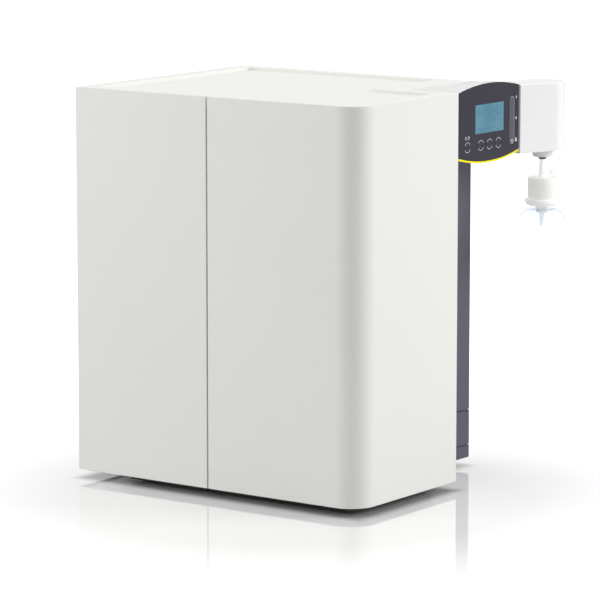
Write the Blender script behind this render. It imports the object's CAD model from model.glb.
import math

import bmesh
import bpy
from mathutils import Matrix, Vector


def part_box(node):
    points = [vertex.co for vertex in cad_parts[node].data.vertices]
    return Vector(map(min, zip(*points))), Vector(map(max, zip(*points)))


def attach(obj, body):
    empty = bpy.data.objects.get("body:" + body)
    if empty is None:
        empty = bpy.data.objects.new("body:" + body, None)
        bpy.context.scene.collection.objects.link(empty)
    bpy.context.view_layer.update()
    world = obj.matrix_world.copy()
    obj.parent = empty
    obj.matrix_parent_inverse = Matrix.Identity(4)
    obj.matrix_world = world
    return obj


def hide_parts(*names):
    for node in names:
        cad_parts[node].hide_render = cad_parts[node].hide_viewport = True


# Ultrapure water system. Places and sizes are in millimetres here and become metres in the mesh.
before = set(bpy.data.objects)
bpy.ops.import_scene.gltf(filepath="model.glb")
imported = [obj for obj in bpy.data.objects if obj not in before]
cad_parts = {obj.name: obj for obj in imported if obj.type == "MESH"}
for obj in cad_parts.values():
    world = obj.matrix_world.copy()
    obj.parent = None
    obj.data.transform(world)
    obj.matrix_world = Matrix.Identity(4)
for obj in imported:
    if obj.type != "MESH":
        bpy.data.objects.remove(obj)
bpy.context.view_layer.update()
print("frame loaded")


# modelling helpers

def clear():
    active = bpy.context.view_layer.objects.active
    if active and active.mode != "OBJECT":
        bpy.ops.object.mode_set(mode="OBJECT")
    bpy.ops.object.select_all(action="DESELECT")


def grab(piece, edit=False):
    clear()
    piece.select_set(True)
    bpy.context.view_layer.objects.active = piece
    if edit:
        bpy.ops.object.mode_set(mode="EDIT")
        bpy.ops.mesh.select_all(action="SELECT")
    return piece


def span(node):
    low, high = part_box(node)
    return Vector(low) * 1000, Vector(high) * 1000


def sized(name, low, high):
    # gives the new primitive its place and size and leaves it in edit mode, selected all over
    piece = bpy.context.object
    piece.name = name
    piece.location = (Vector(low) + Vector(high)) / 2000
    piece.scale = (Vector(high) - Vector(low)) / 1000
    bpy.ops.object.transform_apply(location=True, rotation=True, scale=True)
    return grab(piece, edit=True)


def startBox(name, low, high):
    clear()
    bpy.ops.mesh.primitive_cube_add(size=1)
    return sized(name, low, high)


def startSheet(name, low, high, z):
    clear()
    bpy.ops.mesh.primitive_plane_add(size=1)
    piece = sized(name, (low[0], low[1], 0), (high[0], high[1], 1000))
    move(z=z - 500)
    return piece


def startRod(name, centre, radius, length, axis="Z", sides=48):
    clear()
    bpy.ops.mesh.primitive_cylinder_add(vertices=sides, radius=radius / 1000, depth=length / 1000)
    piece = bpy.context.object
    piece.name = name
    lay(piece, centre, axis)
    return grab(piece, edit=True)


def pick(kind, test, add=False):
    # picks by place in mm; an edge also gives its direction and a face its normal
    bpy.ops.mesh.select_mode(type=kind)
    if not add:
        bpy.ops.mesh.select_all(action="DESELECT")
    mesh = bmesh.from_edit_mesh(bpy.context.object.data)
    if kind == "VERT":
        for v in mesh.verts:
            if test(v.co * 1000):
                v.select = True
    elif kind == "EDGE":
        for e in mesh.edges:
            a, b = e.verts[0].co * 1000, e.verts[1].co * 1000
            if test((a + b) / 2, (b - a).normalized()):
                e.select = True
    else:
        for f in mesh.faces:
            if test(f.calc_center_bounds() * 1000, f.normal):
                f.select = True
    mesh.select_flush_mode()
    bmesh.update_edit_mesh(bpy.context.object.data)


def dropFaces(test):
    pick("FACE", test)
    bpy.ops.mesh.delete(type="FACE")


def cutAcross(place, normal):
    bpy.ops.mesh.select_all(action="SELECT")
    bpy.ops.mesh.bisect(plane_co=Vector(place) / 1000, plane_no=normal)


def move(x=0, y=0, z=0):
    bpy.ops.transform.translate(value=(x / 1000, y / 1000, z / 1000))


def pull(x=0, y=0, z=0):
    bpy.ops.mesh.extrude_region_move(TRANSFORM_OT_translate={"value": (x / 1000, y / 1000, z / 1000)})


def resize(x, y, z, centre):
    bpy.ops.transform.resize(value=(x, y, z), center_override=Vector(centre) / 1000)


def inset(width):
    bpy.ops.mesh.inset(thickness=width / 1000, depth=0, use_even_offset=True)


def roundEdge(test, radius, segments=12):
    pick("EDGE", test)
    bpy.ops.mesh.bevel(offset=radius / 1000, segments=segments, affect="EDGES")


def roundPoint(test, radius, segments=12):
    pick("VERT", test)
    bpy.ops.mesh.bevel(offset=radius / 1000, segments=segments, affect="VERTICES")


def faceUp():
    # an open sheet's faces are made to agree, with the widest one looking up
    bpy.ops.mesh.select_all(action="SELECT")
    bpy.ops.mesh.normals_make_consistent(inside=False)
    mesh = bmesh.from_edit_mesh(bpy.context.object.data)
    flat = max((f for f in mesh.faces if abs(f.normal.z) > 0.9), key=lambda f: f.calc_area())
    if flat.normal.z < 0:
        bpy.ops.mesh.select_all(action="SELECT")
        bpy.ops.mesh.flip_normals()


def thicken(piece, wall, offset=-1):
    grab(piece)
    m = piece.modifiers.new("wall", "SOLIDIFY")
    m.thickness, m.offset, m.use_even_offset = wall / 1000, offset, True
    bpy.ops.object.modifier_apply(modifier=m.name)


def soften(piece, width, segments=3, angle=38):
    grab(piece)
    m = piece.modifiers.new("edge", "BEVEL")
    m.width, m.segments = width / 1000, segments
    m.limit_method, m.angle_limit = "ANGLE", math.radians(angle)
    bpy.ops.object.modifier_apply(modifier=m.name)
    return piece


def joinUp(pieces):
    clear()
    for p in pieces:
        p.select_set(True)
    bpy.context.view_layer.objects.active = pieces[0]
    if len(pieces) > 1:
        bpy.ops.object.join()
    return pieces[0]


def cutAway(piece, *cutters):
    cutter = joinUp(list(cutters))
    grab(piece)
    m = piece.modifiers.new("cut", "BOOLEAN")
    m.operation, m.object, m.solver = "DIFFERENCE", cutter, "EXACT"
    bpy.ops.object.modifier_apply(modifier=m.name)
    bpy.data.objects.remove(cutter)
    return piece


def copyOf(piece, name, x=0, y=0, z=0):
    grab(piece)
    bpy.ops.object.duplicate()
    new = bpy.context.object
    new.name = name
    grab(new, edit=True)
    move(x, y, z)
    clear()
    return new


def lay(piece, centre, axis):
    # takes a piece drawn at the origin to its centre, with its Z axis along the axis asked for
    axes = {"Z": (0, 0, 1), "Y": (0, 1, 0), "X": (1, 0, 0)}
    way = axes[axis] if isinstance(axis, str) else axis
    grab(piece)
    piece.rotation_mode = "QUATERNION"
    piece.rotation_quaternion = Vector((0, 0, 1)).rotation_difference(Vector(way).normalized())
    piece.location = Vector(centre) / 1000
    bpy.ops.object.transform_apply(location=True, rotation=True, scale=True)


def turned(name, profile, centre, axis="Z", sides=96):
    # a profile of radius and height pairs, drawn point by point and spun once round its axis
    clear()
    bpy.ops.mesh.primitive_plane_add(size=0.001)
    piece = bpy.context.object
    piece.name = name
    grab(piece, edit=True)
    bpy.ops.mesh.select_mode(type="VERT")
    bpy.ops.mesh.merge(type="CENTER")
    r0, h0 = profile[0]
    move(r0, 0, h0)
    for r, h in profile[1:]:
        pull(r - r0, 0, h - h0)
        r0, h0 = r, h
    bpy.ops.mesh.select_all(action="SELECT")
    bpy.ops.mesh.spin(steps=sides, angle=2 * math.pi, center=(0, 0, 0), axis=(0, 0, 1))
    bpy.ops.mesh.select_all(action="SELECT")
    bpy.ops.mesh.remove_doubles(threshold=0.000002)
    bpy.ops.mesh.normals_make_consistent(inside=False)
    clear()
    lay(piece, centre, axis)
    return piece


def trimmedCopy(node, name, edge, segments):
    # the CAD node's own shape, with its doubles merged and its edges broken
    grab(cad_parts[node])
    bpy.ops.object.duplicate()
    piece = bpy.context.object
    piece.name = name
    piece.parent = None
    for tag in list(piece.keys()):
        del piece[tag]
    grab(piece, edit=True)
    bpy.ops.mesh.customdata_custom_splitnormals_clear()
    bpy.ops.mesh.remove_doubles(threshold=0.000005)
    bpy.ops.mesh.dissolve_limited(angle_limit=math.radians(0.8))
    clear()
    return soften(piece, edge, segments)


def settle(piece, body, material, slot, *nodes, smooth=35):
    grab(piece)
    bpy.ops.object.shade_smooth_by_angle(angle=math.radians(smooth))
    m = piece.modifiers.new("flats", "WEIGHTED_NORMAL")
    m.keep_sharp, m.weight = True, 80
    bpy.ops.object.modifier_apply(modifier=m.name)
    piece.data.materials.clear()
    piece.data.materials.append(material)
    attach(piece, body)
    if nodes:
        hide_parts(*nodes)
    clear()
    return piece


def trimmed(node, name, body, material, slot, edge, segments=2):
    settle(trimmedCopy(node, name, edge, segments), body, material, slot, node)


# finishes: each is built from nodes on the piece's own Object coordinates, in metres

class Finish:
    def __init__(self, name):
        self.material = bpy.data.materials.new(name)
        self.material.use_nodes = True
        self.nodes = self.material.node_tree.nodes
        self.links = self.material.node_tree.links
        self.shader = self.nodes["Principled BSDF"]
        self.place = self.nodes.new("ShaderNodeTexCoord").outputs["Object"]

    def stretch(self, scale=(1, 1, 1), turn=(0, 0, 0)):
        m = self.nodes.new("ShaderNodeMapping")
        m.inputs["Scale"].default_value = scale
        m.inputs["Rotation"].default_value = [math.radians(a) for a in turn]
        self.links.new(self.place, m.inputs["Vector"])
        return m.outputs["Vector"]

    def noise(self, scale, detail=3, rough=0.5, place=None):
        n = self.nodes.new("ShaderNodeTexNoise")
        n.inputs["Scale"].default_value = scale
        n.inputs["Detail"].default_value = detail
        n.inputs["Roughness"].default_value = rough
        self.links.new(place or self.place, n.inputs["Vector"])
        return n.outputs["Fac"]

    def bricks(self, place, wide, tall, mortar, offset=0.5):
        b = self.nodes.new("ShaderNodeTexBrick")
        b.offset = offset
        settings = {"Scale": 1, "Brick Width": wide, "Row Height": tall, "Mortar Size": mortar}
        for socket, value in settings.items():
            b.inputs[socket].default_value = value
        self.links.new(place, b.inputs["Vector"])
        return b

    def ramp(self, fac, low, high, start=0.0, end=1.0):
        r = self.nodes.new("ShaderNodeMapRange")
        for socket, value in (("From Min", start), ("From Max", end), ("To Min", low), ("To Max", high)):
            r.inputs[socket].default_value = value
        self.links.new(fac, r.inputs["Value"])
        return r.outputs["Result"]

    def math(self, how, a, b):
        m = self.nodes.new("ShaderNodeMath")
        m.operation = how
        for i, x in enumerate((a, b)):
            if isinstance(x, (int, float)):
                m.inputs[i].default_value = x
            else:
                self.links.new(x, m.inputs[i])
        return m.outputs[0]

    def blend(self, fac, one, two):
        m = self.nodes.new("ShaderNodeMix")
        m.data_type = "RGBA"
        self.links.new(fac, m.inputs[0])
        for socket, value in ((m.inputs[6], one), (m.inputs[7], two)):
            if isinstance(value, tuple):
                socket.default_value = (*value, 1)
            else:
                self.links.new(value, socket)
        return m.outputs[2]

    def feed(self, socket, value):
        spot = self.shader.inputs[socket]
        if isinstance(value, (int, float)):
            spot.default_value = value
        elif isinstance(value, tuple):
            spot.default_value = (*value, 1) if len(spot.default_value) == 4 else value
        else:
            self.links.new(value, spot)

    def bump(self, height, strength, distance):
        b = self.nodes.new("ShaderNodeBump")
        b.inputs["Strength"].default_value = strength
        b.inputs["Distance"].default_value = distance
        self.links.new(height, b.inputs["Height"])
        self.links.new(b.outputs["Normal"], self.shader.inputs["Normal"])


def mouldedPlastic(name, colour, spread=0.02, gloss=0.42, grain=1500, relief=0.12, coat=0.0, ior=1.47):
    # pigmented plastic: slow drift of tone, fine spark-eroded grain, roughness that follows it
    f = Finish(name)
    fine = f.noise(grain, 2)
    tone = f.math("ADD", f.noise(5, 2), f.math("MULTIPLY", fine, 0.25))
    darker = tuple(c * (1 - spread) for c in colour)
    lighter = tuple(min(1, c * (1 + spread)) for c in colour)
    f.feed("Base Color", f.blend(f.ramp(tone, 0, 1, 0.35, 0.9), darker, lighter))
    f.feed("Roughness", f.ramp(f.math("ADD", fine, f.noise(14, 2)), gloss - 0.05, gloss + 0.06, 0.6, 1.4))
    f.bump(fine, relief, 0.00006)
    f.feed("IOR", ior)
    if coat:
        f.feed("Coat Weight", coat)
        f.feed("Coat Roughness", 0.06)
    return f.material


def sheetMetal(name, colour, gloss=0.35, along=(1, 1, 60), relief=0.15):
    # drawn or brushed metal, with its lines along one direction
    f = Finish(name)
    brushed = f.noise(40, 4, 0.6, f.stretch(along))
    tone = f.math("ADD", brushed, f.noise(9, 3))
    f.feed("Base Color", f.blend(f.ramp(tone, 0, 1, 0.7, 1.3), tuple(c * 0.9 for c in colour), colour))
    f.feed("Metallic", 1.0)
    f.feed("Roughness", f.ramp(brushed, gloss - 0.08, gloss + 0.1, 0.3, 0.7))
    f.bump(brushed, relief, 0.00003)
    return f.material


def milkyPlastic(name, colour, gloss=0.3, through=0.15, depth=0.01, lit=0.0):
    # frosted polypropylene: lets light in and scatters it; lit is what a thin wall gives back of it
    f = Finish(name)
    cloud, fine = f.noise(60, 3), f.noise(1400, 2)
    tone = f.blend(f.ramp(cloud, 0, 1, 0.35, 0.65), tuple(c * 0.97 for c in colour), colour)
    f.feed("Base Color", tone)
    f.feed("Emission Color", tone)
    f.feed("Emission Strength", lit)
    f.feed("Roughness", f.ramp(fine, gloss - 0.05, gloss + 0.08, 0.3, 0.7))
    f.feed("Transmission Weight", through)
    f.feed("Subsurface Weight", 0.6)
    f.feed("Subsurface Radius", (1.0, 1.0, 1.0))
    f.feed("Subsurface Scale", depth)
    f.feed("IOR", 1.4)
    f.bump(fine, 0.1, 0.00005)
    return f.material


def clearPlastic(name, colour, gloss=0.02, ior=1.3):
    f = Finish(name)
    ripple = f.noise(45, 2)
    f.feed("Base Color", f.blend(f.ramp(ripple, 0, 1, 0.3, 0.7), tuple(c * 0.99 for c in colour), colour))
    f.feed("Roughness", f.ramp(f.noise(120, 2), gloss, gloss + 0.02, 0.4, 0.7))
    f.feed("Transmission Weight", 1.0)
    f.feed("IOR", ior)
    f.bump(ripple, 0.04, 0.0002)
    return f.material


def circuitBoard(name):
    # solder mask over tracks
    f = Finish(name)
    tracks = f.bricks(f.stretch((1000, 1000, 1000)), 7, 2.2, 0.3, 0.31)
    tracks.inputs["Color1"].default_value = (0.02, 0.16, 0.06, 1)
    tracks.inputs["Color2"].default_value = (0.03, 0.2, 0.08, 1)
    tracks.inputs["Mortar"].default_value = (0.06, 0.33, 0.13, 1)
    f.feed("Base Color", tracks.outputs["Color"])
    f.feed("Roughness", f.ramp(f.noise(300), 0.25, 0.4))
    f.bump(tracks.outputs["Fac"], 0.2, 0.0001)
    return f.material


def screenFace(name, low, high):
    # a backlit screen: a fine pixel grid, with faint bars where its figures stand
    f = Finish(name)
    wide, tall = high.x - low.x, high.z - low.z
    flat = f.stretch((1000, 1000, 1000), (-90, 0, 0))
    grid = f.bricks(flat, 0.5, 0.5, 0.05, 0)
    bars = f.bricks(flat, 5.3, 2.9, 0.72, 0.37)
    for socket, level in (("Color1", 0.1), ("Color2", 0.9), ("Mortar", 1.0)):
        bars.inputs[socket].default_value = (level, level, level, 1)
    sides = f.nodes.new("ShaderNodeSeparateXYZ")
    f.links.new(f.place, sides.inputs[0])

    def within(out, start, size, a, b):
        above = f.math("GREATER_THAN", sides.outputs[out], (start + a * size) / 1000)
        below = f.math("LESS_THAN", sides.outputs[out], (start + b * size) / 1000)
        return f.math("MULTIPLY", above, below)

    def field(x0, x1, z0, z1):
        return f.math("MULTIPLY", within("X", low.x, wide, x0, x1), within("Z", low.z, tall, z0, z1))

    fields = f.math("MAXIMUM", field(0.06, 0.5, 0.68, 0.93), field(0.6, 0.93, 0.22, 0.9))
    fields = f.math("MAXIMUM", fields, field(0.06, 0.93, 0.06, 0.17))
    marks = f.math("MULTIPLY", f.ramp(bars.outputs["Color"], 1, 0, 0.2, 0.7), fields)
    base = f.blend(f.ramp(f.noise(30, 1), 0, 1, 0.3, 0.7), (0.072, 0.2, 0.275), (0.1, 0.245, 0.33))
    lined = f.blend(f.ramp(grid.outputs["Fac"], 0, 0.2), base, (0.07, 0.19, 0.27))
    face = f.blend(f.ramp(marks, 0, 0.75), lined, (0.045, 0.13, 0.19))
    f.feed("Base Color", face)
    f.feed("Emission Color", face)
    f.feed("Emission Strength", 0.12)
    f.feed("Roughness", f.ramp(f.noise(200), 0.3, 0.4))
    f.feed("IOR", 1.35)
    f.bump(grid.outputs["Fac"], 0.05, 0.00002)
    return f.material


shellWhite = mouldedPlastic("shell white", (0.80, 0.80, 0.775), 0.01, 0.46, 1300, 0.16)
coverWhite = mouldedPlastic("cover white", (0.83, 0.825, 0.80), 0.01, 0.44, 1300, 0.14)
headWhite = mouldedPlastic("head white", (0.9, 0.885, 0.9), 0.008, 0.24, 900, 0.03, coat=0.25)
unitWhite = mouldedPlastic("unit white", (0.8, 0.79, 0.81), 0.012, 0.16, 700, 0.02, coat=0.4)
spigotWhite = mouldedPlastic("spigot white", (0.9, 0.9, 0.86), 0.02, 0.34, 1000, 0.08)
columnGrey = mouldedPlastic("column grey", (0.105, 0.1, 0.13), 0.04, 0.4, 1200, 0.14, ior=1.28)
panelGrey = mouldedPlastic("panel grey", (0.042, 0.04, 0.055), 0.05, 0.36, 1100, 0.08, ior=1.22)
keyGrey = mouldedPlastic("key grey", (0.045, 0.043, 0.058), 0.05, 0.33, 1000, 0.06, ior=1.22)
leverGrey = mouldedPlastic("lever grey", (0.26, 0.26, 0.285), 0.05, 0.3, 1000, 0.06)
leverDark = mouldedPlastic("lever inlay", (0.095, 0.095, 0.11), 0.05, 0.3, 1000, 0.06, ior=1.3)
leverPale = mouldedPlastic("lever tip", (0.45, 0.45, 0.48), 0.04, 0.3, 1000, 0.06)
rimGrey = mouldedPlastic("rim grey", (0.16, 0.155, 0.165), 0.04, 0.35, 1000, 0.06)
trimYellow = mouldedPlastic("trim yellow", (1.0, 0.86, 0.0), 0.02, 0.4, 900, 0.04, ior=1.3)
inkWhite = mouldedPlastic("printed white", (0.75, 0.75, 0.78), 0.03, 0.5, 2500, 0.1)
baseBlack = mouldedPlastic("base black", (0.012, 0.012, 0.013), 0.15, 0.5, 1200, 0.2)
fittingBlack = mouldedPlastic("fitting black", (0.03, 0.03, 0.032), 0.1, 0.42, 1300, 0.2)
footRubber = mouldedPlastic("foot rubber", (0.02, 0.02, 0.02), 0.15, 0.75, 900, 0.35, ior=1.4)
sealGrey = mouldedPlastic("seal grey", (0.1, 0.1, 0.1), 0.1, 0.6, 900, 0.3, ior=1.4)
switchRed = mouldedPlastic("switch red", (0.5, 0.02, 0.015), 0.05, 0.25, 1000, 0.05, coat=0.3)
fittingBlue = mouldedPlastic("fitting blue", (0.04, 0.16, 0.45), 0.06, 0.3, 1200, 0.12)
cartridgeWhite = mouldedPlastic("cartridge white", (0.78, 0.785, 0.8), 0.03, 0.3, 500, 0.12, coat=0.15)
bandBlue = mouldedPlastic("cartridge band", (0.1, 0.26, 0.5), 0.05, 0.35, 900, 0.08)
bandGrey = mouldedPlastic("grey band", (0.28, 0.29, 0.31), 0.05, 0.35, 900, 0.08)
zincSteel = sheetMetal("zinc steel", (0.62, 0.63, 0.65), 0.38)
blackSteel = sheetMetal("blackened steel", (0.03, 0.03, 0.033), 0.5)
latheSteel = sheetMetal("polished stainless", (0.7, 0.71, 0.72), 0.2, (1, 1, 30), 0.05)
railAluminium = sheetMetal("rail aluminium", (0.78, 0.79, 0.8), 0.3, (60, 60, 1))
frostedWhite = milkyPlastic("frosted capsule", (0.84, 0.84, 0.82), 0.3, 0.1, 0.012, 0.26)
stemWhite = milkyPlastic("frosted stem", (0.9, 0.9, 0.895), 0.25, 0.25, 0.008, 0.2)
membraneWhite = mouldedPlastic("membrane", (0.86, 0.88, 0.86), 0.05, 0.7, 1800, 0.3, ior=1.35)
tubeMilk = milkyPlastic("milky tube", (0.86, 0.9, 0.93), 0.25, 0.6)
bellClear = clearPlastic("clear bell", (0.88, 0.93, 1.0), 0.02, 1.5)
boardGreen = circuitBoard("circuit board")
print("finishes made")


# camera, floor and lights

view = {"eye": (-3707.2, -2662.8, 956.5), "yaw": 35.66, "pitch": 9.084, "lens": 217.84}
bpy.ops.object.camera_add(location=Vector(view["eye"]) / 1000)
camera = bpy.context.object
yaw, pitch = math.radians(view["yaw"]), math.radians(view["pitch"])
ahead = Vector((math.cos(yaw) * math.cos(pitch), math.sin(yaw) * math.cos(pitch), -math.sin(pitch)))
camera.rotation_mode = "QUATERNION"
camera.rotation_quaternion = ahead.to_track_quat("-Z", "Y")
camera.data.lens, camera.data.sensor_width = view["lens"], 36
camera.data.clip_start, camera.data.clip_end = 0.1, 60
bpy.context.scene.camera = camera
bpy.context.scene.view_settings.view_transform = "Standard"

studio = {
    "floorSize": 40, "floorWhite": 0.62, "middle": (-0.1, -0.07, 0),
    "glow": 0.4, "glowFrom": 0.28, "glowTo": 0.86,
    "mirror": 0.4, "mirrorFrom": 0.3, "mirrorTo": 0.75, "mirrorBlur": 0.05,
    "halfWide": 0.178, "halfLong": 0.217, "nicheX": 0.038, "nicheY": -0.145,
    "darkIn": -0.006, "darkOut": 0.012,
    "world": 0.49, "mirrored": 0.8, "lookAt": (0, 0, 0.25),
    "lamps": [  # place, size, power, tint, whether it shows in glossy surfaces
        ((2.2, -3.45, 1.7), 2.0, 118, (1, 0.995, 0.98), False),
        ((-1.85, 1.52, 1.1), 1.4, 24, (0.99, 1, 0.965), True),
        ((0.2, 0.3, 4.2), 2.4, 53, (1, 1, 1), False),
    ],
}


def shownTo(tree, *rays):
    # 1 for the kinds of ray named, 0 for the light that falls on the object
    path = tree.nodes.new("ShaderNodeLightPath")
    out = path.outputs[rays[0]]
    for ray in rays[1:]:
        either = tree.nodes.new("ShaderNodeMath")
        either.operation = "MAXIMUM"
        tree.links.new(out, either.inputs[0])
        tree.links.new(path.outputs[ray], either.inputs[1])
        out = either.outputs[0]
    return out


def studioFloor():
    # white gloss board: it mirrors what stands on it close by, and fades to plain white further out
    clear()
    bpy.ops.mesh.primitive_plane_add(size=studio["floorSize"], location=(0, 0, -0.0002))
    floor = bpy.context.object
    floor.name = "floor"
    board = Finish("studio floor")
    tree, nodes, links = board.material.node_tree, board.nodes, board.links
    middle = nodes.new("ShaderNodeVectorMath")
    middle.operation = "SUBTRACT"
    middle.inputs[1].default_value = studio["middle"]
    links.new(board.place, middle.inputs[0])
    far = nodes.new("ShaderNodeVectorMath")
    far.operation = "LENGTH"
    links.new(middle.outputs["Vector"], far.inputs[0])
    distance = far.outputs["Value"]
    glow = board.ramp(distance, studio["glow"], 1.0, studio["glowFrom"], studio["glowTo"])
    # under the housing the floor doesn't glow, which leaves the dark line along its lower edge
    flat = nodes.new("ShaderNodeSeparateXYZ")
    links.new(board.place, flat.inputs[0])
    x, y = flat.outputs["X"], flat.outputs["Y"]
    wide = board.math("SUBTRACT", board.math("ABSOLUTE", x, 0), studio["halfWide"])
    long = board.math("SUBTRACT", board.math("ABSOLUTE", y, 0), studio["halfLong"])
    pastNiche = board.math("SUBTRACT", x, studio["nicheX"])
    nicheIn = board.math("MINIMUM", pastNiche, board.math("SUBTRACT", studio["nicheY"], y))
    outside = board.math("MAXIMUM", board.math("MAXIMUM", wide, long), nicheIn)
    glow = board.math("MULTIPLY", glow, board.ramp(outside, 0, 1, studio["darkIn"], studio["darkOut"]))
    mirror = board.ramp(distance, studio["mirror"], 0.0, studio["mirrorFrom"], studio["mirrorTo"])
    seen = shownTo(tree, "Is Camera Ray", "Is Transmission Ray")
    board.feed("Base Color", (studio["floorWhite"],) * 3)
    board.feed("Roughness", board.ramp(board.noise(3), 0.55, 0.65))
    board.feed("Specular IOR Level", 0.0)
    board.feed("Emission Color", (1.0, 1.0, 1.0))
    board.feed("Emission Strength", board.math("MULTIPLY", glow, seen))
    gloss = nodes.new("ShaderNodeBsdfGlossy")
    gloss.inputs["Roughness"].default_value = studio["mirrorBlur"]
    gloss.inputs["Color"].default_value = (0.96, 0.97, 0.97, 1)
    mixed = nodes.new("ShaderNodeMixShader")
    links.new(mirror, mixed.inputs[0])
    links.new(board.shader.outputs[0], mixed.inputs[1])
    links.new(gloss.outputs[0], mixed.inputs[2])
    links.new(mixed.outputs[0], nodes["Material Output"].inputs["Surface"])
    floor.data.materials.append(board.material)


def studioWorld():
    world = bpy.data.worlds.new("studio")
    bpy.context.scene.world = world
    world.use_nodes = True
    tree = world.node_tree
    level = tree.nodes.new("ShaderNodeMapRange")
    level.inputs["To Min"].default_value = studio["world"]
    level.inputs["To Max"].default_value = studio["mirrored"]
    tree.links.new(shownTo(tree, "Is Glossy Ray"), level.inputs["Value"])
    brightest = tree.nodes.new("ShaderNodeMath")
    brightest.operation = "MAXIMUM"
    tree.links.new(level.outputs["Result"], brightest.inputs[0])
    tree.links.new(shownTo(tree, "Is Camera Ray", "Is Transmission Ray"), brightest.inputs[1])
    tree.links.new(brightest.outputs[0], tree.nodes["Background"].inputs["Strength"])
    tree.nodes["Background"].inputs["Color"].default_value = (1, 1, 1, 1)


studioFloor()
studioWorld()
for place, size, power, tint, glossy in studio["lamps"]:
    bpy.ops.object.light_add(type="AREA", location=place)
    lamp = bpy.context.object
    lamp.data.size, lamp.data.energy, lamp.data.color = size, power, tint
    lamp.visible_glossy = glossy
    lamp.rotation_mode = "QUATERNION"
    lamp.rotation_quaternion = (Vector(studio["lookAt"]) - Vector(place)).to_track_quat("-Z", "Y")
print("studio set")


# places that several pieces share, read from the frame

tower = span("niche_wall")[1].x
columnFace = span("lower_strip")[0].y
doorLow, doorHigh = span("front_door")


# skins of the housing

def cornerWrap(name, low, high, radius, wall):
    # a skin round the front left corner: a box that keeps its front and left faces
    piece = startBox(name, low, high)
    dropFaces(lambda c, n: abs(n.z) > 0.5 or n.x > 0.5 or n.y > 0.5)
    roundEdge(lambda c, d: abs(d.z) > 0.9 and abs(c.x - low[0]) < 1 and abs(c.y - low[1]) < 1, radius, 18)
    thicken(piece, wall)
    return piece


door = {"wall": 3, "corner": 34, "edge": 0.7, "ribDeep": 8, "ribThick": 3, "ribHeights": (136, 256, 366),
        "ribShort": (42, 10), "ribEdge": 0.4, "sunk": 0.1}


def frontDoor():
    w = door["wall"]
    pieces = [soften(cornerWrap("frontDoor", doorLow, doorHigh, door["corner"], w), door["edge"])]
    for z in door["ribHeights"]:
        low = (doorLow.x + w - door["sunk"], doorLow.y + w - door["sunk"], z)
        high = (doorHigh.x - door["ribShort"][0], doorHigh.y - door["ribShort"][1], z + door["ribThick"])
        rib = cornerWrap("rib", low, high, door["corner"] - w, door["ribDeep"])
        pieces.append(soften(rib, door["ribEdge"], 2))
    settle(joinUp(pieces), "door", shellWhite, "white_shell", "front_door")


side = {"wall": 3, "edge": 0.7, "ribDeep": 6, "ribThick": 2, "ribIn": (40, 33), "ribFrom": 46,
        "ribTo": 476, "tabLong": 15.5, "tabFrom": 486.2}


def rearSidePanel():
    low, high = span("rear_side_panel")
    panel = startBox("rearSidePanel", low, (low.x + side["wall"], high.y, high.z))
    ribs = [low.y + side["ribIn"][0], high.y - side["ribIn"][1]]
    for y in ribs:
        cutAcross((0, y, 0), (0, 1, 0))
        cutAcross((0, y + side["ribThick"], 0), (0, 1, 0))
    for z in (side["ribFrom"], side["ribTo"]):
        cutAcross((0, 0, z), (0, 0, 1))
    for y in ribs:
        end = y + side["ribThick"]
        pick("FACE", lambda c, n: n.x > 0.9 and y < c.y < end and side["ribFrom"] < c.z < side["ribTo"])
        pull(x=side["ribDeep"])
    settle(soften(panel, side["edge"]), "housing", shellWhite, "white_shell", "rear_side_panel")


def rightSidePanel():
    low, high = span("right_side_panel")
    panel = startBox("rightSidePanel", (low.x, low.y + side["tabLong"], low.z), high)
    cutAcross((0, 0, side["tabFrom"]), (0, 0, 1))
    pick("FACE", lambda c, n: n.y < -0.9 and c.z > side["tabFrom"])
    pull(y=-side["tabLong"])
    settle(soften(panel, side["edge"]), "housing", shellWhite, "white_shell", "right_side_panel")


niche = {"behindColumn": 3.3, "stepUp": 16, "edge": 0.3}


def nicheWall():
    low, high = span("niche_wall")
    step = columnFace + niche["behindColumn"]
    wall = startBox("nicheWall", low, (high.x, step, high.z))
    cutAcross((0, 0, niche["stepUp"]), (0, 0, 1))
    pick("FACE", lambda c, n: n.y > 0.9 and c.z > niche["stepUp"])
    pull(y=high.y - step)
    settle(soften(wall, niche["edge"], 2), "housing", shellWhite, "white_shell", "niche_wall")


def nicheOutline(name, low, high, nicheX, nicheY, radius, z):
    # the housing's plan as one flat face: a rectangle without the niche, its front left corner round
    piece = startSheet(name, low, high, z)
    cutAcross((nicheX, 0, 0), (1, 0, 0))
    cutAcross((0, nicheY, 0), (0, 1, 0))
    dropFaces(lambda c, n: c.x > nicheX and c.y < nicheY)
    bpy.ops.mesh.select_all(action="SELECT")
    bpy.ops.mesh.dissolve_limited(angle_limit=0.01)
    roundPoint(lambda p: p.x < low[0] + 1 and p.y < low[1] + 1, radius, 18)
    return piece


cover = {"corner": 30.5, "rim": 18.5, "rightRim": 13.5, "trayDeep": 4, "trayCorner": 8, "tower": 22,
         "niche": 45, "wall": 3, "edge": 1.0, "above": 4, "below": 2}


def coverBlock(name, low, high, nicheX, nicheY, corner, z0, z1, inner=0):
    # the plan drawn up from z0 to z1; inner rounds its other corners too
    block = nicheOutline(name, low, high, nicheX, nicheY, corner, z0)
    if inner:
        past = low[1] + corner + 1
        roundPoint(lambda p: p.x > low[0] + 1 and (p.y > past or p.x > nicheX - 1), inner, 8)
    bpy.ops.mesh.select_all(action="SELECT")
    pull(z=z1 - z0)
    bpy.ops.mesh.select_all(action="SELECT")
    bpy.ops.mesh.normals_make_consistent(inside=False)
    return block


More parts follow.
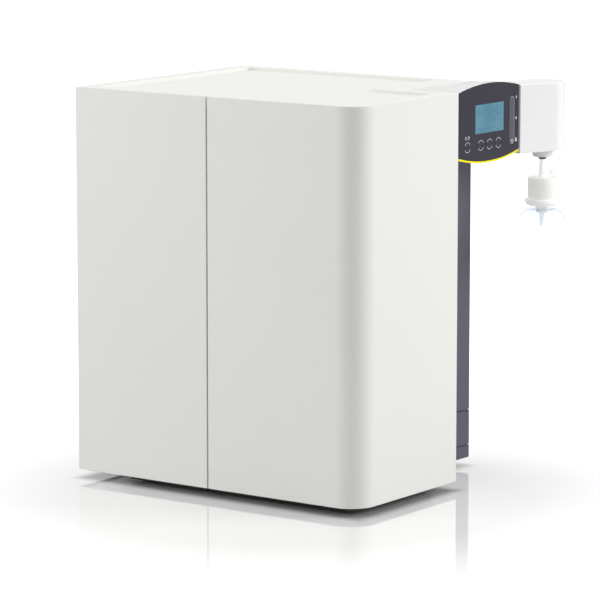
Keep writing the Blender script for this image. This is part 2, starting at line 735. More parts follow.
def topCover():
    low, high = span("top_cover")
    c = cover
    rim, wall = c["rim"], c["wall"]
    lid = coverBlock("topCover", low, high, tower, columnFace, c["corner"], low.z, high.z)
    trayFloor = high.z - c["trayDeep"]
    tray = coverBlock("c", (low.x + rim, low.y + rim), (high.x - c["rightRim"], high.y - rim),
                      tower - c["tower"], columnFace + c["niche"], c["corner"] - rim,
                      trayFloor, high.z + c["above"], c["trayCorner"])
    hollow = coverBlock("c", (low.x + wall, low.y + wall), (high.x - wall, high.y - wall),
                        tower - wall, columnFace + wall, c["corner"] - wall,
                        low.z - c["below"], trayFloor - wall)
    cutAway(lid, tray, hollow)
    soften(lid, c["edge"], 4)
    settle(lid, "housing", coverWhite, "white_shell", "top_cover")


rear = {"inlet": (100, 74, 14, 10.5), "switch": (142, 74, 10, 13.5), "portXs": (-118, -78), "portZ": 63,
        "portR": 8.2, "slotFrom": 76, "slotTo": 156, "slotZ": 341, "slotPitch": 9, "slotHigh": 3,
        "slots": 9, "edge": 0.35, "screwIn": 9, "cutPast": 2, "portCut": 10}


def rearPanel():
    low, high = span("rear_panel")
    panel = startBox("rearPanel", low, high)
    cutters = []
    near, far = low.y - rear["cutPast"], high.y + rear["cutPast"]
    for x, z, halfWide, halfHigh in (rear["inlet"], rear["switch"]):
        cutHigh = (x + halfWide, far, z + halfHigh)
        cutters.append(startBox("c", (x - halfWide, near, z - halfHigh), cutHigh))
    for x in rear["portXs"]:
        cutters.append(startRod("c", (x, high.y, rear["portZ"]), rear["portR"], rear["portCut"], "Y"))
    z = rear["slotZ"]
    slot = startBox("c", (rear["slotFrom"], near, z), (rear["slotTo"], far, z + rear["slotHigh"]))
    roundEdge(lambda c, d: abs(d.y) > 0.9, rear["slotHigh"] / 2 - 0.02, 6)
    cutters += [slot] + [copyOf(slot, "c", z=rear["slotPitch"] * i) for i in range(1, rear["slots"])]
    cutAway(panel, *cutters)
    settle(soften(panel, rear["edge"], 2), "housing", shellWhite, "white_shell", "rear_panel")


louvre = {"shorter": 1, "deep": 6, "sunk": 0.5, "lowDown": 1, "highDown": 0.2, "rise": 6, "edge": 0.15}


def rearLouvres():
    # a blade leans behind each slot, so that nothing falls straight in
    y, z, t = span("rear_panel")[0].y, rear["slotZ"], louvre
    bladeLow = (rear["slotFrom"] + t["shorter"], y - t["deep"], z - t["lowDown"])
    bladeHigh = (rear["slotTo"] - t["shorter"], y + t["sunk"], z - t["highDown"])
    blade = startBox("rearLouvres", bladeLow, bladeHigh)
    pick("FACE", lambda c, n: n.y < -0.9)
    move(z=t["rise"])
    soften(blade, t["edge"], 2)
    blades = [blade] + [copyOf(blade, "blade", z=rear["slotPitch"] * i) for i in range(1, rear["slots"])]
    settle(joinUp(blades), "housing", shellWhite, "white_shell")


screw = {"head": 3.2, "high": 1.3, "slotWide": 0.9, "slotLong": 3.8, "slotDeep": 0.7}


def panelScrews():
    low, high = span("rear_panel")
    first = Vector((low.x + rear["screwIn"], high.y, low.z + rear["screwIn"]))
    r, h = screw["head"], screw["high"]
    profile = [(0, 0), (r, 0), (r, 0.35), (r * 0.82, h * 0.78), (r * 0.5, h), (0, h)]
    head = turned("rearScrews", profile, first, "Y", 32)
    a, b = screw["slotLong"] / 2, screw["slotWide"] / 2
    for halfX, halfZ in ((a, b), (b, a)):
        low2 = first + Vector((-halfX, h - screw["slotDeep"], -halfZ))
        cutAway(head, startBox("c", low2, first + Vector((halfX, h + 1, halfZ))))
    right, up = high.x - low.x - 2 * rear["screwIn"], (high.z - low.z - 2 * rear["screwIn"]) / 3
    places = [(right * i, up * j) for i in (0, 1) for j in range(4) if i or j]
    heads = [head] + [copyOf(head, "screw", x=x, z=z) for x, z in places]
    settle(joinUp(heads), "housing", latheSteel, "reactor_steel")


frontDoor()
rearSidePanel()
rightSidePanel()
nicheWall()
topCover()
rearPanel()
rearLouvres()
panelScrews()
print("skins modelled")


# column

column = {"wall": 3, "edge": 0.4, "return": 15, "slot": (95, 121), "slotLow": 168}


def columnSkin(name, node):
    # the column's face with its return round the right corner
    low, high = span(node)
    low = Vector((low.x, columnFace, low.z))
    piece = startBox(name, low, (high.x, columnFace + column["return"], high.z))
    dropFaces(lambda c, n: abs(n.z) > 0.5 or n.x < -0.5 or n.y > 0.5)
    return piece, low, high


def columnCover():
    piece = columnSkin("columnCover", "column_cover")[0]
    a, b = column["slot"]
    for x in (a, b):
        cutAcross((x, 0, 0), (1, 0, 0))
    cutAcross((0, 0, column["slotLow"]), (0, 0, 1))
    dropFaces(lambda c, n: a < c.x < b and c.z > column["slotLow"])
    thicken(piece, column["wall"])
    settle(soften(piece, column["edge"], 2), "housing", columnGrey, "column_grey", "column_cover")


def lowerStrip():
    piece = columnSkin("lowerStrip", "lower_strip")[0]
    thicken(piece, column["wall"])
    settle(soften(piece, column["edge"], 2), "housing", columnGrey, "column_grey", "lower_strip")


service = {"notch": 2.5, "notchIn": 7.5, "notchOut": 0.5, "notchLong": 9, "tabs": (4, 11), "tabWide": 2,
           "tabIn": 12, "tabDeep": 6, "tabSunk": 0.2, "tabTaper": 0.8, "tabEdge": 0.3}


def serviceCover():
    piece, low, high = columnSkin("serviceCover", "service_cover")
    wall, t = column["wall"], service
    thicken(piece, wall)
    notch = (high.x - t["notchIn"], low.y - t["notchOut"], high.z)
    cutAway(piece, startRod("c", notch, t["notch"], t["notchLong"], "X", 32))
    soften(piece, column["edge"], 2)
    tabs = []
    for x in (low.x + t["tabs"][0], high.x - t["tabs"][1]):
        tabLow = (x, low.y + wall - t["tabSunk"], low.z + t["tabIn"])
        tab = startBox("tab", tabLow, (x + t["tabWide"], low.y + wall + t["tabDeep"], high.z - t["tabIn"]))
        pick("FACE", lambda c, n: n.y > 0.9)
        resize(1, 1, t["tabTaper"], (x, low.y, (low.z + high.z) / 2))
        tabs.append(soften(tab, t["tabEdge"], 2))
    settle(joinUp([piece] + tabs), "housing", columnGrey, "column_grey", "service_cover")


def servicePort():
    low, high = span("service_port")
    x, z = (low.x + high.x) / 2, (low.z + high.z) / 2
    profile = [(0, 0), (5.8, 0), (7, 1.2), (7, 2.6), (6.5, 3), (7, 3.4), (7, 6), (9, 6), (9, 12),
               (11.4, 12), (12, 12.6), (12, 16.4), (11.4, 17), (9, 17), (9, 30), (0, 30)]
    piece = turned("servicePort", profile, (x, low.y, z), "Y", 64)
    settle(piece, "housing", fittingBlue, "blue_fitting", "service_port")


columnCover()
lowerStrip()
serviceCover()
servicePort()
trimmed("column_frame", "columnFrame", "housing", blackSteel, "sheet_steel", 0.3)
trimmed("slide_rail", "slideRail", "housing", railAluminium, "rail_aluminium", 0.4)


# base

base = {"plate": 3, "corner": 30.5, "edge": 0.8, "setBack": 22, "foot": 18, "footIn": 48,
        "plateGap": (3.2, 3.5), "plateEdge": 0.3}


def plinth():
    low, high = span("plinth")
    turn = columnFace + base["setBack"]
    block = startBox("plinthBlock", low, (tower - base["setBack"], high.y, high.z))
    cutAcross((0, turn, 0), (0, 1, 0))
    pick("FACE", lambda c, n: n.x > 0.9 and c.y > turn)
    pull(x=high.x - tower + base["setBack"])
    soften(block, base["edge"], 2)
    settle(block, "housing", baseBlack, "black_plastic", "plinth")


def rubberFeet():
    low, high = span("rubber_feet")
    r, h = base["foot"], high.z
    places = [(low.x + r, low.y + r), (tower - base["footIn"], low.y + r), (low.x + r, high.y - r),
              (high.x - r, high.y - r), (high.x - r, columnFace + base["footIn"]), (0, 0)]
    profile = [(0, 0.6), (9, 0.6), (10, 0), (13, 0), (13.6, 0.6), (14.6, 0.6), (15.2, 0), (17, 0),
               (r, 1), (r, h - 0.5), (r - 0.5, h), (0, h)]
    x0, y0 = places[0]
    foot = turned("rubberFeet", profile, (x0, y0, 0), "Z", 64)
    feet = [foot] + [copyOf(foot, "foot", x=x - x0, y=y - y0) for x, y in places[1:]]
    settle(joinUp(feet), "housing", footRubber, "foot_rubber", "rubber_feet")


def basePlate():
    low, high = span("base_plate")
    gapX, gapY = base["plateGap"]
    plate = nicheOutline("basePlate", low, high, tower - gapX, columnFace + gapY, base["corner"], high.z)
    faceUp()
    thicken(plate, base["plate"])
    settle(soften(plate, base["plateEdge"], 2), "housing", zincSteel, "sheet_steel", "base_plate")


plinth()
rubberFeet()
basePlate()
print("column and base modelled")


# rear fittings

def hosePort(node, name, material, slot):
    # a push-in fitting: flange against the panel, collar and release ring
    low, high = span(node)
    x, z = (low.x + high.x) / 2, (low.z + high.z) / 2
    profile = [(2.5, 0), (7.4, 0), (8, 0.6), (8, 14), (11.6, 14), (12, 14.4), (12, 16.3), (11.3, 17),
               (8.5, 17), (8.5, 19.6), (8, 20), (8, 21), (8.5, 21.4), (8.5, 27.6), (7.9, 28.2),
               (6.3, 28.2), (6.3, 29.4), (5.9, 30), (4.5, 30), (4.05, 29.5), (4.05, 14), (2.5, 14),
               (2.5, 0)]
    settle(turned(name, profile, (x, low.y, z), "Y", 72), "housing", material, slot, node)


hosePort("feed_port", "feedPort", fittingBlue, "blue_fitting")
hosePort("drain_port", "drainPort", fittingBlack, "black_plastic")
trimmed("mains_inlet", "mainsInlet", "housing", fittingBlack, "black_plastic", 0.35)
trimmed("switch_frame", "switchFrame", "housing", fittingBlack, "black_plastic", 0.5, 3)
trimmed("mains_rocker", "mainsRocker", "rocker", switchRed, "red_switch", 0.5, 3)


# hinges and catch

trimmed("hinge_brackets", "hingeBrackets", "housing", zincSteel, "sheet_steel", 0.4)
trimmed("hinge_arms", "hingeArms", "door", zincSteel, "sheet_steel", 0.5, 3)

catch = {"rim": 2, "deep": 1.2, "edge": 0.6, "magnets": (0.27, 0.73), "magnetIn": 0.2}


def doorCatch():
    low, high = span("door_catch")
    block = startBox("doorCatch", low, high)
    pick("FACE", lambda c, n: n.y < -0.9)
    inset(catch["rim"])
    pull(y=catch["deep"])
    soften(block, catch["edge"], 3)
    settle(block, "housing", fittingBlack, "black_plastic", "door_catch")
    profile = [(0, 0.2), (1.2, 0.2), (1.6, 0), (3.8, 0), (4.3, 0.4), (4.3, 1.6), (0, 1.6)]
    for share in catch["magnets"]:
        centre = ((low.x + high.x) / 2, low.y + catch["magnetIn"], low.z + (high.z - low.z) * share)
        settle(turned("catchMagnet", profile, centre, "Y", 48), "housing", latheSteel, "reactor_steel")


doorCatch()


# cartridges

cartridge = {"radius": 44, "grips": 36, "bandFrom": 60, "bandTo": 190, "band": 0.35, "neck": 324,
             "stubAside": 18, "gripIn": 4.2, "gripOut": 2.4, "gripHalf": 0.8, "gripFrom": 297,
             "gripTo": 312, "gripEdge": 0.4, "cradleGap": 0.2, "cradleFloor": 10}


def cartridgeShell(node, name, bandName, bandColour):
    low, high = span(node)
    r, neck = cartridge["radius"], cartridge["neck"]
    x, y, stub = (low.x + high.x) / 2, (low.y + high.y) / 2, high.z - low.z - neck
    profile = [(0, 0), (r - 5, 0), (r - 1.2, 1.4), (r, 5), (r, 18), (r - 0.8, 18.8), (r - 0.8, 21.2),
               (r, 22), (r, 290), (r - 1, 292.4), (r - 3.2, 294), (r - 4, 296), (r - 4, 313),
               (r - 5, 316), (r - 14, neck), (26, neck), (26, neck + 1.2), (25, neck + 2),
               (0, neck + 2)]
    shell = turned(name, profile, (x, y, low.z), "Z", 144)
    aside = cartridge["stubAside"]
    pipe = [(3.2, 0), (7, 0), (7, stub - 0.8), (6.2, stub), (3.2, stub), (3.2, 0)]
    stubs = [turned("stub", pipe, (x + s, y, low.z + neck), "Z", 40) for s in (-aside, aside)]
    # grip ribs round the neck
    half = cartridge["gripHalf"]
    gripLow = (x + r - cartridge["gripIn"], y - half, low.z + cartridge["gripFrom"])
    gripHigh = (x + r - cartridge["gripOut"], y + half, low.z + cartridge["gripTo"])
    rib = soften(startBox("grip", gripLow, gripHigh), cartridge["gripEdge"], 2)
    ribs = [rib]
    for i in range(1, cartridge["grips"]):
        ribs.append(copyOf(rib, "grip"))
        grab(ribs[-1], edit=True)
        turn = 2 * math.pi * i / cartridge["grips"]
        bpy.ops.transform.rotate(value=turn, orient_axis="Z", center_override=(x / 1000, y / 1000, 0))
    settle(joinUp([shell] + stubs + ribs), "housing", cartridgeWhite, "cartridge_white", node)
    a, b, t = cartridge["bandFrom"], cartridge["bandTo"], cartridge["band"]
    sleeve = [(r - 0.1, a), (r + t, a), (r + t, b), (r - 0.1, b), (r - 0.1, a)]
    settle(turned(bandName, sleeve, (x, y, low.z), "Z", 144), "housing", bandColour, "cartridge_white")


def cartridgeCradle():
    low, high = span("cartridge_cradle")
    r, inner = (high.x - low.x) / 2, cartridge["radius"] + cartridge["cradleGap"]
    h, floor = high.z - low.z, cartridge["cradleFloor"]
    profile = [(0, 0), (r, 0), (r, h - 0.8), (r - 0.8, h), (inner + 1.6, h), (inner, h - 1.6),
               (inner, floor), (0, floor)]
    cup = turned("cartridgeCradle", profile, ((low.x + high.x) / 2, low.y + r, low.z), "Z", 128)
    second = copyOf(cup, "cup", y=high.y - low.y - 2 * r)
    settle(joinUp([cup, second]), "housing", fittingBlack, "black_plastic", "cartridge_cradle")


cartridgeShell("polishing_cartridge", "polishingCartridge", "polishingBand", bandBlue)
cartridgeShell("pretreatment_cartridge", "pretreatmentCartridge", "pretreatmentBand", bandGrey)
cartridgeCradle()
trimmed("cartridge_manifold", "cartridgeManifold", "housing", fittingBlack, "black_plastic", 1.2, 3)
print("inner bay modelled")


# display unit

unit = {"columns": 28, "rows": 8, "rise": 7.8, "drop": 8.5, "wall": 2.5, "frontDepth": 14, "lipTop": 0.8,
        "lipRight": 1.8, "gap": 0.2, "trimHigh": 2.4, "panelDepth": 3.5, "flatBack": 3,
        "seatPast": 5, "cutPast": 3, "edge": 0.25}
unitLow, unitHigh = span("display_housing")
endLow, endTop = unitLow.z + unit["drop"], unitHigh.z - unit["rise"]
frontFace = span("front_panel")[0].y
panelRear = frontFace + unit["panelDepth"]


def arc(x, height):
    # height at x of a flat arc that spans the unit
    half = (unitHigh.x - unitLow.x) / 2
    radius = (half * half + height * height) / (2 * height)
    return math.sqrt(radius * radius - (x - (unitLow.x + unitHigh.x) / 2) ** 2) - (radius - height)


def archBox(name, x0, x1, y0, y1, topIn=0.0, lowIn=0.0, z1=None):
    # a box sliced into columns, whose top is lifted and whose bottom is dropped to the unit's arcs
    piece = startBox(name, (x0, y0, endLow), (x1, y1, z1 or endTop))
    xs = [x0 + (x1 - x0) * i / unit["columns"] for i in range(unit["columns"] + 1)]
    for x in xs[1:-1]:
        cutAcross((x, 0, 0), (1, 0, 0))
    middle = endLow + 0.5
    for x in xs:
        pick("VERT", lambda p: abs(p.x - x) < 0.01 and p.z > middle)
        move(z=-arc(x, unit["drop"]) if z1 else arc(x, unit["rise"]) - topIn)
        pick("VERT", lambda p: abs(p.x - x) < 0.01 and abs(p.z - endLow) < 0.001)
        move(z=lowIn - arc(x, unit["drop"]))
    return piece


def displayHousing():
    shell = archBox("displayHousing", unitLow.x, unitHigh.x, unitLow.y, unitHigh.y)
    # behind its front the unit flattens row by row
    front, back = unitLow.y + unit["frontDepth"], unitHigh.y
    ys = [front + (back - front) * i / (unit["rows"] - 1) for i in range(unit["rows"])]
    for y in ys[:-1]:
        cutAcross((0, y, 0), (0, 1, 0))
    flat = back - unit["flatBack"]
    for y in ys[1:]:
        share = max(0.0, (flat - y) / (flat - front))
        pick("VERT", lambda p: abs(p.y - y) < 0.01 and p.z > (endLow + endTop) / 2)
        resize(1, 1, share, (0, 0, endTop))
        pick("VERT", lambda p: abs(p.y - y) < 0.01 and p.z < (endLow + endTop) / 2)
        resize(1, 1, share, (0, 0, endLow))
    dropFaces(lambda c, n: n.y < -0.9 and c.y < unitLow.y + 1)
    thicken(shell, unit["wall"])
    # the seat of the front panel
    past = unit["seatPast"]
    right = unitHigh.x - unit["lipRight"]
    seat = archBox("c", unitLow.x - past, right, frontFace - past, panelRear, unit["lipTop"], -past)
    cutAway(shell, seat)
    soften(shell, unit["edge"], 2)
    settle(shell, "display", unitWhite, "white_gloss", "display_housing", smooth=25)


rim = {"proud": 0.15, "deep": 1, "lowIn": 2.6, "topIn": 0.6, "rightIn": 0.1, "edge": 0.2}


def rimStrip():
    # grey strip over the unit's rim beside the head
    low = (unitHigh.x - unit["lipRight"], frontFace - rim["proud"], endLow + rim["lowIn"])
    high = (unitHigh.x - rim["rightIn"], frontFace + rim["deep"], endTop - rim["topIn"])
    settle(soften(startBox("rimStrip", low, high), rim["edge"], 2), "display", rimGrey, "lever_grey")


def pill(name, x, radius, low, high, y0, y1):
    # a bar with round ends, standing upright
    piece = startBox(name, (x - radius, y0, low), (x + radius, y1, high))
    roundEdge(lambda c, d: abs(d.y) > 0.9, radius - unit["edge"], 14)
    return piece


keyNodes = {"power_key": "powerKey", "left_key": "leftKey", "middle_key": "middleKey",
            "right_key": "rightKey"}
key = {"hole": 7.25, "holeLong": 10, "cap": 6.95, "flange": 8.45, "flangeDeep": 1.6, "mark": 6.6,
       "markWide": 0.5, "markGap": 25, "ink": 0.12, "proud": 0.02}
keyPlaces = {}
for node in keyNodes:
    low, high = span(node)
    keyPlaces[node] = Vector(((low.x + high.x) / 2, low.y, (low.z + high.z) / 2))
lcdLow, lcdHigh = span("lcd_window")
leverLow, leverHigh = span("dispense_lever")
lever = {"proud": 1.6, "edge": 0.35, "rim": 1.0, "deep": 0.8, "gap": 0.6, "pinDown": 9.4,
         "tipHigh": 8.5, "tipWide": 7.6, "tipUp": 1.6, "backDeep": 3.5, "step": 0.7, "barrelBack": 5,
         "inlayIn": 1.0, "inlayFrom": 0.5, "inlayTo": 1.4, "inlayEdge": 0.15, "tipProud": 0.1, "tipDeep": 1.6,
         "tipPoint": 0.16, "tipLean": 1.1, "tipEdge": 0.4}
leverX, leverR = (leverLow.x + leverHigh.x) / 2, (leverHigh.x - leverLow.x) / 2
post = {"radius": 2, "sunk": 0.1, "fromPower": 15, "fromRight": 12.5, "board": 1.6}
pinEar = {"sides": (-3.6, 1.6), "thick": 2, "half": 5, "past": 0.5, "round": 2}
window = {"gap": 0.2, "rim": 0.9, "deep": 0.25, "edge": 0.12}


def frontPanel():
    right = unitHigh.x - unit["lipRight"] - unit["gap"]
    topIn = unit["lipTop"] + unit["gap"]
    panel = archBox("frontPanel", unitLow.x, right, frontFace, panelRear, topIn, unit["trimHigh"])
    cutters = []
    for p in keyPlaces.values():
        cutters.append(startRod("c", (p.x, frontFace + 1, p.z), key["hole"], key["holeLong"], "Y", 64))
    past, g = unit["cutPast"], lever["gap"]
    w = Vector((window["gap"], past, window["gap"]))
    cutters.append(startBox("c", lcdLow - w, lcdHigh + w))
    grooveLow, grooveHigh = leverLow.z - g, leverHigh.z + g
    cutters.append(pill("c", leverX, leverR + g, grooveLow, grooveHigh, frontFace - past, panelRear + past))
    cutAway(panel, *cutters)
    soften(panel, unit["edge"], 2)
    # the posts that carry the key board and the ears of the lever's pin
    board, r = span("keypad_board")[1].y - post["board"] - panelRear, post["radius"]
    profile = [(0, -post["sunk"]), (r, -post["sunk"]), (r, board), (0, board)]
    xs = (keyPlaces["power_key"].x + post["fromPower"], keyPlaces["right_key"].x + post["fromRight"])
    z = keyPlaces["left_key"].z
    parts = [panel] + [turned("post", profile, (x, panelRear, z), "Y", 24) for x in xs]
    pin, half = leverHigh.z - lever["pinDown"], pinEar["half"]
    for x in (leverX - leverR + pinEar["sides"][0], leverX + leverR + pinEar["sides"][1]):
        earHigh = (x + pinEar["thick"], leverHigh.y + pinEar["past"], pin + half)
        ear = startBox("ear", (x, panelRear - post["sunk"], pin - half), earHigh)
        roundEdge(lambda c, d: abs(d.x) > 0.9 and c.y > panelRear + 1, pinEar["round"], 5)
        parts.append(ear)
    settle(joinUp(parts), "display", panelGrey, "panel_grey", "front_panel")


trim = {"proud": 0.2, "gap": 0.1, "edge": 0.3}


def trimStrip():
    low, high = span("trim_strip")
    top = endLow + unit["trimHigh"] - trim["gap"]
    strip = archBox("trimStrip", low.x, high.x, frontFace - trim["proud"], panelRear, z1=top)
    settle(soften(strip, trim["edge"], 3), "display", trimYellow, "yellow_trim", "trim_strip")


def lcdWindow():
    pane = startBox("lcdWindow", lcdLow, lcdHigh)
    pick("FACE", lambda c, n: n.y < -0.9)
    inset(window["rim"])
    pull(y=window["deep"])
    soften(pane, window["edge"], 2)
    settle(pane, "display", screenFace("screen", lcdLow, lcdHigh), "lcd_blue", "lcd_window")


def arcMarks(name, centre, radius, wide, keep, sides=96):
    # printed arcs: a circle loses the points that keep(angle) leaves out, and its edges are pulled inwards
    clear()
    bpy.ops.mesh.primitive_circle_add(vertices=sides, radius=radius / 1000)
    piece = bpy.context.object
    piece.name = name
    grab(piece, edit=True)
    pick("VERT", lambda p: not keep(math.degrees(math.atan2(p.y, p.x))))
    bpy.ops.mesh.delete(type="VERT")
    bpy.ops.mesh.select_all(action="SELECT")
    bpy.ops.mesh.extrude_edges_move()
    resize(1 - wide / radius, 1 - wide / radius, 1, (0, 0, 0))
    bpy.ops.mesh.select_all(action="SELECT")
    bpy.ops.mesh.normals_make_consistent(inside=False)
    lay(piece, centre, (0, -1, 0))
    thicken(piece, key["ink"], 0)
    return piece


def roundKeys():
    first = keyPlaces["power_key"]
    r, flange = key["cap"], key["flange"]
    deep = span("power_key")[1].y - first.y
    step = deep - key["flangeDeep"]
    profile = [(0, 0.32), (3, 0.28), (5.2, 0.12), (6.2, 0), (6.6, 0.08), (r, 0.45), (r, step),
               (flange, step), (flange, deep), (0, deep)]
    cap = turned("cap", profile, first, "Y", 72)
    gap, centre = key["markGap"], first + Vector((0, key["proud"], 0))
    ring = arcMarks("ring", centre, key["mark"], key["markWide"], lambda a: gap < abs(a) < 180 - gap)
    for node, name in keyNodes.items():
        p = keyPlaces[node] - first
        settle(copyOf(cap, name, *p), node, keyGrey, "panel_grey", node)
        settle(copyOf(ring, name + "Mark", *p), node, inkWhite, "white_shell")
    for spare in (cap, ring):
        bpy.data.objects.remove(spare)


sign = {"up": 11.8, "apart": 3.2, "ring": 2.2, "line": 0.45, "bar": 0.26, "barLong": 2.1, "right": 2.4,
        "gap": (60, 120), "proud": 0.02, "edge": 0.05, "topDrop": 2.4, "midDrop": 1.6, "lowDrop": 4.6,
        "dropRadii": (1.15, 1.25, 1.9), "dropTip": 0.8, "dropLong": 0.9}


def panelMarks():
    # on and standby signs over the power key, and three marks beside the lever
    p = keyPlaces["power_key"]
    y, z = frontFace - sign["proud"], p.z + sign["up"]
    marks = []
    gapFrom, gapTo = sign["gap"]
    for way, top in ((-1, 1.0), (1, 0.0)):
        x, w = p.x + way * sign["apart"], sign["bar"]
        ring = arcMarks("sign", (x, y, z), sign["ring"], sign["line"],
                        lambda a: way > 0 or not gapFrom < a < gapTo, 40)
        barLow = z + top - 1
        bar = startBox("sign", (x - w, y - 0.06, barLow), (x + w, y + 0.1, barLow + sign["barLong"]))
        marks += [ring, soften(bar, sign["edge"], 1)]
    x = leverX + leverR + sign["right"]
    middle = (leverHigh.z + leverLow.z) / 2
    heights = (leverHigh.z - sign["topDrop"], middle + sign["midDrop"], leverLow.z + sign["lowDrop"])
    for height, r in zip(heights, sign["dropRadii"]):
        profile = [(0, 0), (r * 0.9, 0), (r, 0.04), (r, 0.12), (0, 0.12)]
        drop = turned("sign", profile, (x, y - 0.04, height), "Y", 24)
        grab(drop, edit=True)
        pick("VERT", lambda q: q.z > height + r * sign["dropTip"])
        move(z=r * sign["dropLong"])
        marks.append(drop)
    settle(joinUp(marks), "display", inkWhite, "white_shell")


def dispenseLever():
    t, y = lever, leverLow.y - lever["proud"]
    bar = pill("dispenseLever", leverX, leverR, leverLow.z, leverHigh.z, y, leverLow.y + t["backDeep"])
    pick("FACE", lambda c, n: n.y < -0.9)
    inset(t["rim"])
    pull(y=t["deep"])
    inset(t["step"])
    soften(bar, t["edge"], 3, 50)
    long = 2 * leverR
    profile = [(1.55, 0), (3.2, 0), (3.5, 0.3), (3.5, long - 0.3), (3.2, long), (1.55, long), (1.55, 0)]
    pinSpot = (leverLow.x, leverLow.y + t["barrelBack"], leverHigh.z - t["pinDown"])
    barrel = turned("barrel", profile, pinSpot, "X", 48)
    settle(joinUp([bar, barrel]), "lever", leverGrey, "lever_grey", "dispense_lever")
    g = t["rim"] + t["inlayIn"]
    inlayLow, inlayHigh = leverLow.z + g, leverHigh.z - g
    inlayFront, inlayBack = y + t["inlayFrom"], y + t["inlayTo"]
    inlay = pill("leverInlay", leverX, leverR - g, inlayLow, inlayHigh, inlayFront, inlayBack)
    settle(soften(inlay, t["inlayEdge"], 2), "lever", leverDark, "panel_grey")
    # pale pointer at the lever's lower end
    half, z = t["tipWide"] / 2, leverLow.z + t["tipUp"]
    tipHigh = (leverX + half, y + t["tipDeep"], z + t["tipHigh"])
    tip = startBox("leverTip", (leverX - half, y - t["tipProud"], z), tipHigh)
    pick("VERT", lambda p: p.z < z + 1)
    resize(t["tipPoint"], 1, 1, (leverX, 0, z))
    pick("VERT", lambda p: p.z > z + 1 and p.y < y + 0.5)
    move(y=t["tipLean"])
    settle(soften(tip, t["tipEdge"], 3), "lever", leverPale, "lever_grey")


displayHousing()
rimStrip()
frontPanel()
trimStrip()
lcdWindow()
roundKeys()
panelMarks()
dispenseLever()
print("display unit modelled")


# dispensing head

nozzleLow, nozzleHigh = span("spigot")
nozzle = (nozzleLow + nozzleHigh) / 2
headLow, headHigh = span("head_shell")
head = {"radius": 28, "rootFrom": -219, "rootTo": -169, "base": 2.5, "wall": 2.5, "edge": 1.5,
        "lowEdge": 0.9, "bore": 4}


def headForm(name, z0, z1):
    # a cylinder round the nozzle and a block at the root, wrapped in one tight skin
    block = startBox(name, (headLow.x, head["rootFrom"], z0), (headLow.x + 2, head["rootTo"], z1))
    rod = startRod("rod", (nozzle.x, nozzle.y, (z0 + z1) / 2), head["radius"], z1 - z0, "Z", 144)
    piece = joinUp([block, rod])
    grab(piece, edit=True)
    bpy.ops.mesh.convex_hull()
    bpy.ops.mesh.select_all(action="SELECT")
    bpy.ops.mesh.dissolve_limited(angle_limit=math.radians(0.5))
    return piece


def headShell():
    shell = headForm("headShell", headLow.z, headHigh.z)
    roundEdge(lambda c, d: c.z > headHigh.z - 0.1 and c.x > headLow.x + 0.5, head["edge"], 4)
    dropFaces(lambda c, n: n.z < -0.9 and c.z < headLow.z + 1)
    thicken(shell, head["wall"])
    settle(soften(shell, 0.2, 2, 60), "display", headWhite, "white_gloss", "head_shell", smooth=30)


def headBase():
    z = headLow.z - head["base"]
    tray = headForm("headBase", z, headLow.z)
    roundEdge(lambda c, d: c.z < z + 0.1 and c.x > headLow.x + 0.5, head["lowEdge"], 3)
    cutAway(tray, startRod("c", (nozzle.x, nozzle.y, z), head["bore"], 10, "Z", 48))
    settle(tray, "display", headWhite, "white_gloss", "head_base", smooth=30)


def spigot():
    profile = [(1.8, 0.6), (2.4, 0), (11.6, 0), (12.2, 0.15), (12.6, 0.7), (14.6, 8.2), (14.8, 8.6),
               (14.8, 9.5), (1.8, 9.5), (1.8, 0.6)]
    piece = turned("spigotCollar", profile, (nozzle.x, nozzle.y, nozzleLow.z))
    settle(piece, "display", spigotWhite, "white_gloss", "spigot")


def spigotSeal():
    z = span("spigot_seal")[0].z
    profile = [(1.8, 0), (4.9, 0), (5.4, 0.5), (5.4, 1.2), (5.1, 1.5), (5.4, 1.8), (5.4, 2.6), (5.1, 3),
               (1.8, 3), (1.8, 0)]
    seal = turned("spigotSeal", profile, (nozzle.x, nozzle.y, z))
    settle(seal, "display", sealGrey, "foot_rubber", "spigot_seal")


headShell()
headBase()
spigot()
spigotSeal()


# filter capsule and filling bell

capsule = {"radius": 19, "wall": 1.6, "stemTop": 3.95, "stemLow": 5.5, "bore": 1.8, "folds": 52,
           "foldDeep": 0.86, "stemGap": 3, "stemLong": 23, "ventTurn": -35, "ventUp": 5.5}
stemHigh = nozzleLow.z - capsule["stemGap"]
capsuleLow, capsuleHigh = span("filter_body")[0].z, stemHigh - capsule["stemLong"]
ventTurn = math.radians(capsule["ventTurn"])
ventWay = Vector((math.cos(ventTurn), math.sin(ventTurn), 0))
ventSpot = Vector((nozzle.x, nozzle.y, capsuleHigh + capsule["ventUp"]))


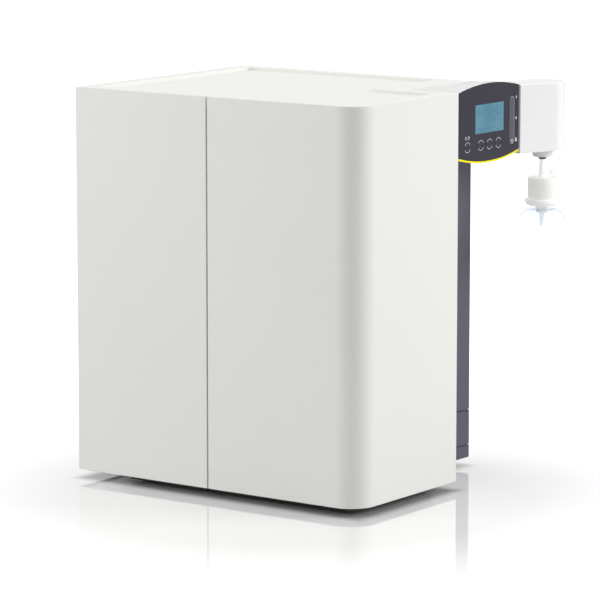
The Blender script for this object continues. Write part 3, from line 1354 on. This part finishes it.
def filterBody():
    r, w, bore, top = capsule["radius"], capsule["wall"], capsule["bore"], capsuleHigh
    profile = [(bore, top - w), (bore, top - 0.2), (r - 2.2, top - 0.2), (r - 1, top),
               (r - 0.3, top - 0.5), (r, top - 1.4), (r - 0.25, capsuleLow), (r - w, capsuleLow),
               (r - w, top - w - 1), (r - w - 1, top - w), (bore, top - w)]
    shell = turned("filterBody", profile, (nozzle.x, nozzle.y, 0), "Z", 128)
    a, b = capsule["stemLow"], capsule["stemTop"]
    stem = [(bore, top - 0.2), (a + 0.8, top - 0.2), (a, top + 0.7), (b + 0.35, stemHigh - 6),
            (b + 0.35, stemHigh - 5), (b, stemHigh - 4.4), (b, stemHigh - 0.3), (b - 0.4, stemHigh),
            (bore, stemHigh), (bore, top - 0.2)]
    inlet = turned("filterStem", stem, (nozzle.x, nozzle.y, 0), "Z", 64)
    arm = [(1.2, 4.4), (2.9, 4.4), (2.6, 5.4), (2.6, 11.4), (2.9, 11.6), (2.9, 11.9), (2.2, 11.9),
           (2.2, 16.6), (1.9, 17), (1.2, 17), (1.2, 4.4)]
    vent = turned("arm", arm, ventSpot, ventWay, 48)
    settle(shell, "display", frostedWhite, "frosted", "filter_body")
    settle(joinUp([inlet, vent]), "display", stemWhite, "frosted")


def filterMembrane():
    # a pleated pack: every second line of a many-sided tube is drawn inwards
    low, high = span("filter_membrane")
    r, long = (high.x - low.x) / 2, high.z - low.z
    folds = capsule["folds"]
    pack = startRod("filterMembrane", (nozzle.x, nozzle.y, (low.z + high.z) / 2), r, long, "Z", 2 * folds)
    pick("VERT", lambda p: round(math.atan2(p.y - nozzle.y, p.x - nozzle.x) * folds / math.pi) % 2 == 1)
    resize(capsule["foldDeep"], capsule["foldDeep"], 1, nozzle)
    settle(pack, "display", membraneWhite, "membrane", "filter_membrane", smooth=20)


def filterBase():
    low, high = span("filter_base")
    z, end = high.z, low.z
    profile = [(1.8, z), (21.6, z), (22.3, z - 0.5), (22.5, z - 1.1), (22.5, z - 4), (22, z - 4.8),
               (19.6, z - 7.6), (18, z - 8.6), (15.6, z - 8.9), (7.7, z - 8.9), (7.7, z - 12.3),
               (4.6, z - 12.3), (4.6, z - 13.9), (7.7, z - 13.9), (7.7, z - 16.9), (7.1, z - 17.5),
               (4.4, z - 17.5), (3.4, z - 18.4), (3.25, z - 19), (2.85, end + 0.4), (2.5, end),
               (1.8, end), (1.8, z)]
    piece = turned("filterBase", profile, (nozzle.x, nozzle.y, 0), "Z", 128)
    settle(piece, "display", frostedWhite, "frosted", "filter_base")


bell = {"radius": 30.3, "wall": 1.0, "shoulder": 18, "neck": 4.8, "flat": 0.85}


def fillingBell():
    low, high = span("filling_bell")
    r, s, w, f = bell["radius"], bell["shoulder"], bell["wall"], bell["flat"]
    turns = [math.radians(7.5 * i) for i in range(13)]
    outer = [(r - s + s * math.sin(a), high.z - s * f * (1 - math.cos(a))) for a in turns]
    inner = [(r - s + (s - w) * math.sin(a), high.z - w - (s - w) * f * (1 - math.cos(a))) for a in turns]
    lip = [(r, low.z + 0.5), (r - 0.3, low.z), (r - w + 0.3, low.z), (r - w, low.z + 0.5)]
    mouth = (bell["neck"], high.z)
    profile = [mouth] + outer + lip + inner[::-1] + [(bell["neck"], high.z - w), mouth]
    piece = turned("fillingBell", profile, (nozzle.x, nozzle.y, 0), "Z", 144)
    settle(piece, "display", bellClear, "clear_plastic", "filling_bell", smooth=40)


wing = {"low": (18.8, -1.2, -6), "high": (21.5, 1.2, 6), "round": 1.8, "edge": 0.4}


def ventKnob():
    profile = [(2.65, 12), (3.6, 12), (4, 12.4), (4, 18.6), (3.6, 19), (0, 19), (0, 18.3), (2.65, 18.3),
               (2.65, 12)]
    grip = turned("ventKnob", profile, ventSpot, ventWay, 48)
    blade = startBox("wing", ventSpot + Vector(wing["low"]), ventSpot + Vector(wing["high"]))
    roundEdge(lambda c, d: abs(d.y) > 0.9 and c.x > ventSpot.x + 20, wing["round"], 5)
    bpy.ops.mesh.select_all(action="SELECT")
    bpy.ops.transform.rotate(value=-ventTurn, orient_axis="Z", center_override=ventSpot / 1000)
    settle(joinUp([grip, soften(blade, wing["edge"], 3)]), "vent", stemWhite, "frosted", "vent_knob")


filterBody()
filterMembrane()
filterBase()
fillingBell()
ventKnob()
print("head and filter modelled")


# what stays as the frame has it gets its finish

def paint(material, *names):
    for n in names:
        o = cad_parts[n]
        o.data.materials.clear()
        o.data.materials.append(material)


paint(zincSteel, "bulkhead", "power_supply", "pump_motor", "lever_pin")
paint(fittingBlack, "pump_head", "inlet_valve", "carriage", "lcd_module")
paint(latheSteel, "uv_reactor")
paint(boardGreen, "control_board", "keypad_board")
paint(tubeMilk, "water_tubing", "head_pipe")
paint(cartridgeWhite, "conductivity_cell")
print("inner parts finished")
